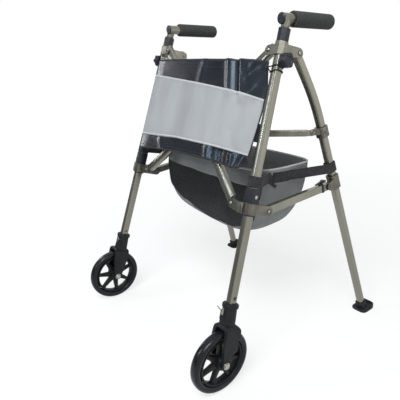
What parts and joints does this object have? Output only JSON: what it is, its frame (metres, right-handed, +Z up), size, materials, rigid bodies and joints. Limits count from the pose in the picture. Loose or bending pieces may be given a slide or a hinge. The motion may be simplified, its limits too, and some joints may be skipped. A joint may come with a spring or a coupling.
{
  "type": "folding travel walker",
  "caption": "Folding travel walker with front wheels, an X-brace that shuts sideways, swing-in rear legs, height-adjustable handles, a cloth front panel and a mesh pouch.",
  "frame": {"origin": "centre of the footprint, on the floor that the wheels and rear feet stand on", "axes": "+Z up, -Y the walking direction (wheels in front), +X the left side of the person who walks behind it"},
  "size_m": [0.6452, 0.6384, 0.812],
  "materials": {
    "frame": "satin metallic",
    "cast": "satin metallic",
    "rivet": "semi-gloss",
    "black_plastic": "satin",
    "fork_plastic": "satin",
    "foam": "matte foam",
    "rubber": "matte",
    "wire": "bright",
    "webbing": "woven",
    "cloth": "woven",
    "mesh_cloth": "mesh"
  },
  "bodies": {
    "centre": {"centre_pin": "rivet"},
    "cloth": {"panel": "cloth", "pouch": "mesh_cloth"},
    "arm_a": {"arm_a": "frame", "arm_a_cap": "black_plastic"},
    "arm_b": {"arm_b": "frame", "arm_b_cap": "black_plastic"},
    "leg_l": {"front_leg_l": "frame", "stem_bush_l": "black_plastic", "hub_l": "cast", "panel_cord_l": "webbing", "stop_sleeve_l": "black_plastic", "stop_bolt_l": "rivet", "fork_l": "fork_plastic", "axle_bolt_l": "rivet", "side_strap_l": "webbing"},
    "leg_r": {"front_leg_r": "frame", "stem_bush_r": "black_plastic", "hub_r": "cast", "panel_cord_r": "webbing", "stop_sleeve_r": "black_plastic", "stop_bolt_r": "rivet", "fork_r": "fork_plastic", "axle_bolt_r": "rivet", "side_strap_r": "webbing"},
    "handle_l": {"handle_stem_l": "cast", "tee_cap_l": "black_plastic", "grip_l": "foam"},
    "handle_r": {"handle_stem_r": "cast", "tee_cap_r": "black_plastic", "grip_r": "foam"},
    "knob_l": {"clamp_knob_l": "black_plastic"},
    "knob_r": {"clamp_knob_r": "black_plastic"},
    "slider_l": {"slide_liner_l": "black_plastic", "slide_bracket_l": "cast"},
    "slider_r": {"slide_liner_r": "black_plastic", "slide_bracket_r": "cast"},
    "rear_l": {"rear_leg_l": "frame", "upper_collar_l": "cast", "lower_collar_l": "cast", "foot_l": "rubber"},
    "rear_r": {"rear_leg_r": "frame", "upper_collar_r": "cast", "lower_collar_r": "cast", "foot_r": "rubber"},
    "brace_l": {"side_brace_l": "frame", "latch_band_l": "black_plastic"},
    "brace_r": {"side_brace_r": "frame", "latch_band_r": "black_plastic"},
    "latch_l": {"brace_latch_l": "black_plastic"},
    "latch_r": {"brace_latch_r": "black_plastic"},
    "strut_l": {"strut_l": "cast"},
    "strut_r": {"strut_r": "cast"},
    "pin_l": {"fork_pin_l": "wire"},
    "pin_r": {"fork_pin_r": "wire"},
    "wheel_l": {"wheel_l": "black_plastic", "tyre_l": "rubber"},
    "wheel_r": {"wheel_r": "black_plastic", "tyre_r": "rubber"}
  },
  "joints": [
    {"name": "fold", "type": "hinge", "parent": "centre", "child": "arm_a", "pos_m": [0, -0.08015, 0.57986], "axis": [0, -0.9514, 0.308], "range_deg": [0, 46.5], "deforming": ["panel", "pouch"]},
    {"name": "cloth_rise", "type": "slide", "parent": "centre", "child": "cloth", "axis": [0, 0.308, 0.9514], "range_m": [0, 0.0872]},
    {"name": "arm_b_fold", "type": "hinge", "parent": "centre", "child": "arm_b", "pos_m": [0, -0.08015, 0.57986], "axis": [0, -0.9514, 0.308], "range_deg": [-46.6, 0]},
    {"name": "leg_l_fold", "type": "hinge", "parent": "arm_a", "child": "leg_l", "pos_m": [0.18955, -0.02995, 0.73491], "axis": [0, -0.9514, 0.308], "range_deg": [-49.7, 0]},
    {"name": "leg_r_fold", "type": "hinge", "parent": "arm_b", "child": "leg_r", "pos_m": [-0.18955, -0.02995, 0.73491], "axis": [0, -0.9514, 0.308], "range_deg": [0, 49.7]},
    {"name": "slider_l_fold", "type": "hinge", "parent": "arm_b", "child": "slider_l", "pos_m": [0.20636, -0.1348, 0.41106], "axis": [0, -0.9514, 0.308], "range_deg": [0, 43.4]},
    {"name": "slider_r_fold", "type": "hinge", "parent": "arm_a", "child": "slider_r", "pos_m": [-0.20636, -0.1348, 0.41106], "axis": [0, -0.9514, 0.308], "range_deg": [-43.4, 0]},
    {"name": "rear_l_fold", "type": "hinge", "parent": "leg_l", "child": "rear_l", "pos_m": [0.2232, 0.02016, 0.72633], "axis": [-0.9949, 0.0576, -0.0826], "range_deg": [0, 26.9], "deforming": ["side_strap_l"]},
    {"name": "rear_r_fold", "type": "hinge", "parent": "leg_r", "child": "rear_r", "pos_m": [-0.2232, 0.02016, 0.72633], "axis": [-0.9949, -0.0576, 0.0826], "range_deg": [0, 26.9], "deforming": ["side_strap_r"]},
    {"name": "brace_l_fold", "type": "hinge", "parent": "slider_l", "child": "brace_l", "pos_m": [0.24494, -0.08395, 0.39181], "axis": [0.9949, -0.0576, 0.0826], "range_deg": [0, 59.6]},
    {"name": "brace_r_fold", "type": "hinge", "parent": "slider_r", "child": "brace_r", "pos_m": [-0.24494, -0.08395, 0.39181], "axis": [0.9949, 0.0576, -0.0826], "range_deg": [0, 59.6]},
    {"name": "strut_l_fold", "type": "hinge", "parent": "rear_l", "child": "strut_l", "pos_m": [0.24072, 0.06991, 0.54991], "axis": [0.6338, -0.7732, 0.0191], "range_deg": [0, 85.5]},
    {"name": "strut_r_fold", "type": "hinge", "parent": "rear_r", "child": "strut_r", "pos_m": [-0.24072, 0.06991, 0.54991], "axis": [0.5837, 0.8117, -0.02], "range_deg": [0, 84]},
    {"name": "handle_l_height", "type": "slide", "parent": "leg_l", "child": "handle_l", "axis": [-0.061, 0.3074, 0.9496], "range_m": [0, 0.152]},
    {"name": "handle_r_height", "type": "slide", "parent": "leg_r", "child": "handle_r", "axis": [0.061, 0.3074, 0.9496], "range_m": [0, 0.152]},
    {"name": "knob_l_turn", "type": "hinge", "parent": "leg_l", "child": "knob_l", "pos_m": [0.22718, -0.03782, 0.71061], "axis": [0.9949, -0.0576, 0.0826], "continuous": true},
    {"name": "knob_r_turn", "type": "hinge", "parent": "leg_r", "child": "knob_r", "pos_m": [-0.22718, -0.03782, 0.71061], "axis": [0.9949, 0.0576, -0.0826], "continuous": true},
    {"name": "latch_l_lever", "type": "hinge", "parent": "brace_l", "child": "latch_l", "pos_m": [0.25308, 0.10048, 0.42227], "axis": [0.9949, -0.0576, 0.0826], "range_deg": [0, 8], "stiffness_Nm_per_rad": 0.05, "springref_deg": -5.73},
    {"name": "latch_r_lever", "type": "hinge", "parent": "brace_r", "child": "latch_r", "pos_m": [-0.25308, 0.10048, 0.42227], "axis": [0.9949, 0.0576, -0.0826], "range_deg": [0, 8], "stiffness_Nm_per_rad": 0.05, "springref_deg": -5.73},
    {"name": "pin_l_pull", "type": "slide", "parent": "leg_l", "child": "pin_l", "axis": [-0.549, -0.8049, 0.2253], "range_m": [0, 0.004], "stiffness_N_per_m": 150, "springref_m": -0.002},
    {"name": "pin_r_pull", "type": "slide", "parent": "leg_r", "child": "pin_r", "axis": [0.549, -0.8049, 0.2253], "range_m": [0, 0.004], "stiffness_N_per_m": 150, "springref_m": -0.002},
    {"name": "wheel_l_spin", "type": "hinge", "parent": "leg_l", "child": "wheel_l", "pos_m": [0.26796, -0.24322, 0.0762], "axis": [1, 0, 0], "continuous": true},
    {"name": "wheel_r_spin", "type": "hinge", "parent": "leg_r", "child": "wheel_r", "pos_m": [-0.26796, -0.24322, 0.0762], "axis": [1, 0, 0], "continuous": true}
  ],
  "couplings": [
    {"joint": "arm_b_fold", "follows": "fold", "ratio": -1},
    {"joint": "cloth_rise", "follows": "fold", "m_per_rad": 0.1068},
    {"joint": "leg_l_fold", "follows": "fold", "ratio": -1.068},
    {"joint": "leg_r_fold", "follows": "fold", "ratio": 1.068},
    {"joint": "slider_l_fold", "follows": "fold", "ratio": 0.932},
    {"joint": "slider_r_fold", "follows": "fold", "ratio": -0.932},
    {"joint": "rear_l_fold", "follows": "fold", "ratio": 0.577},
    {"joint": "rear_r_fold", "follows": "fold", "ratio": 0.577},
    {"joint": "brace_l_fold", "follows": "fold", "ratio": 1.28},
    {"joint": "brace_r_fold", "follows": "fold", "ratio": 1.28},
    {"joint": "strut_l_fold", "follows": "fold", "ratio": 1.8377},
    {"joint": "strut_r_fold", "follows": "fold", "ratio": 1.8057}
  ]
}
